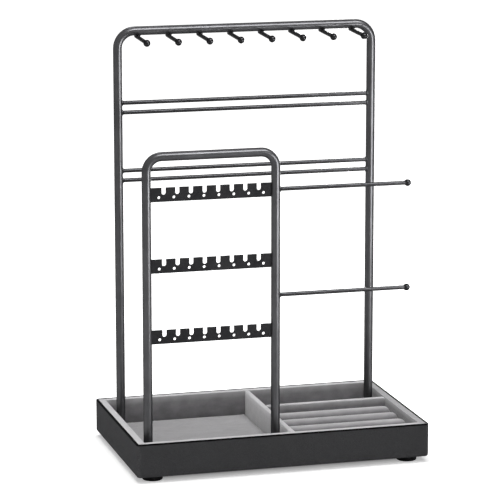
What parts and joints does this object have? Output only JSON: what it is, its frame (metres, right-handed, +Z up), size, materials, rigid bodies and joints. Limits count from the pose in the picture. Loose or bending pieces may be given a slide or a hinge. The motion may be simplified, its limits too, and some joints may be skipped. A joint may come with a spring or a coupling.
{
  "type": "jewelry stand",
  "caption": "Desk stand for jewelry: velvet-lined tray with ring rolls, a tall tube frame with ball-ended hooks and crossbars, and a short frame with earring strips and bracelet rods.",
  "frame": {"origin": "centre of the tray's outline, on the table under the feet", "axes": "+X to the right, +Y to the back, where the tall frame stands, +Z up"},
  "size_m": [0.28, 0.175, 0.4011],
  "materials": {
    "shell_leather": "fine-grained, matte charcoal",
    "board_wood": "plain fibreboard",
    "velvet": "short-pile light grey velvet",
    "coated_steel": "satin charcoal powder coat",
    "matte_steel": "matte black coat on the flat strips",
    "gloss_steel": "gloss black dip on the balls",
    "zinc_steel": "bright zinc",
    "foot_rubber": "matte black"
  },
  "bodies": {
    "root": {"tray_shell": "shell_leather", "base_board": "board_wood", "front_lining": "velvet", "back_lining": "velvet", "left_lining": "velvet", "right_lining": "velvet", "centre_divider": "velvet", "cross_divider": "velvet", "left_floor_pad": "velvet", "rear_floor_pad": "velvet", "ring_card": "board_wood", "ring_roll_1": "velvet", "ring_roll_2": "velvet", "ring_roll_3": "velvet", "ring_roll_4": "velvet", "necklace_frame": "coated_steel", "upper_pair_top_crossbar": "coated_steel", "upper_pair_bottom_crossbar": "coated_steel", "lower_pair_top_crossbar": "coated_steel", "lower_pair_bottom_crossbar": "coated_steel", "necklace_hooks": "coated_steel", "necklace_hook_balls": "gloss_steel", "earring_frame": "coated_steel", "earring_strip_1": "matte_steel", "earring_strip_2": "matte_steel", "earring_strip_3": "matte_steel", "upper_bracelet_rod": "coated_steel", "lower_bracelet_rod": "coated_steel", "upper_bracelet_rod_ball": "gloss_steel", "lower_bracelet_rod_ball": "gloss_steel", "leg_inserts": "zinc_steel", "leg_washers": "zinc_steel", "leg_screws": "zinc_steel", "front_left_foot": "foot_rubber", "front_right_foot": "foot_rubber", "back_left_foot": "foot_rubber", "back_right_foot": "foot_rubber"}
  },
  "joints": []
}
